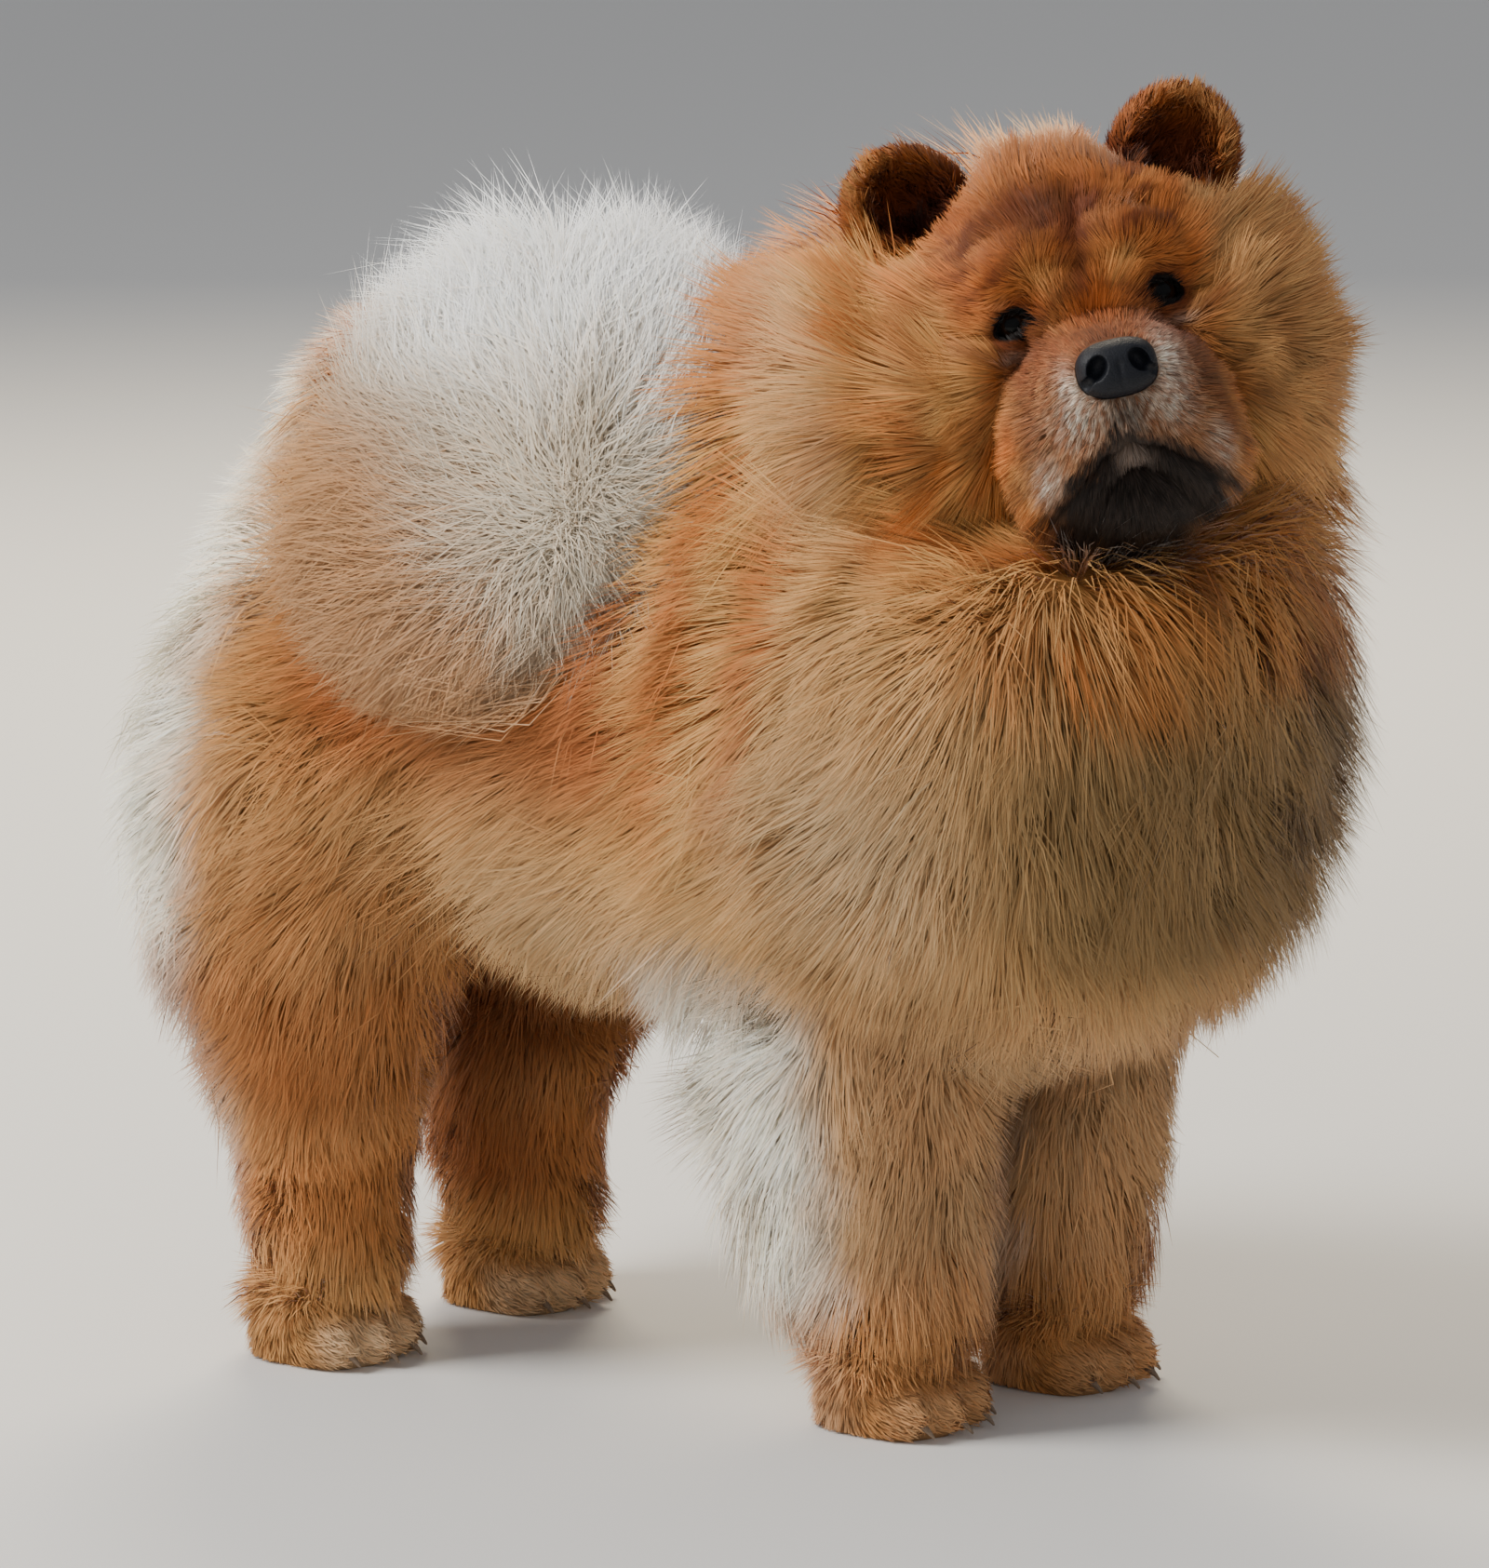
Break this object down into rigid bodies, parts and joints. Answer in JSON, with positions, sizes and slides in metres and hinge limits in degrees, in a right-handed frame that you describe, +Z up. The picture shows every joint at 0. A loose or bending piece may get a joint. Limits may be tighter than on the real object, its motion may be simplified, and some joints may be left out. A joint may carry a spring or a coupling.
{
  "type": "chow chow, still life-size model",
  "caption": "Life-size still model of a standing red chow chow, its head turned to its right, with a full ruff and a plume tail curled over the back.",
  "frame": {"origin": "centre of the model's box, at the floor", "axes": "+X the way the body faces, +Y the dog's left, +Z up"},
  "size_m": [0.6516, 0.38, 0.6944],
  "materials": {
    "coat_face": "soft fur",
    "coat_ear": "soft fur",
    "coat_mane": "soft fur",
    "coat_body": "soft fur",
    "coat_tail": "soft fur",
    "coat_leg": "soft fur",
    "coat_paw": "soft fur",
    "nose": "damp leather",
    "eye": "gloss",
    "claw": "horn"
  },
  "bodies": {
    "root": {"torso": "coat_body", "neck": "coat_mane", "head": "coat_face", "nose": "nose", "eye_left": "eye", "eye_right": "eye", "ear_left": "coat_ear", "ear_right": "coat_ear", "tail": "coat_tail", "thigh_left": "coat_leg", "hindleg_left": "coat_leg", "hindpaw_left": "coat_paw", "foreleg_left": "coat_leg", "forepaw_left": "coat_paw", "thigh_right": "coat_leg", "hindleg_right": "coat_leg", "hindpaw_right": "coat_paw", "foreleg_right": "coat_leg", "forepaw_right": "coat_paw"}
  },
  "joints": []
}
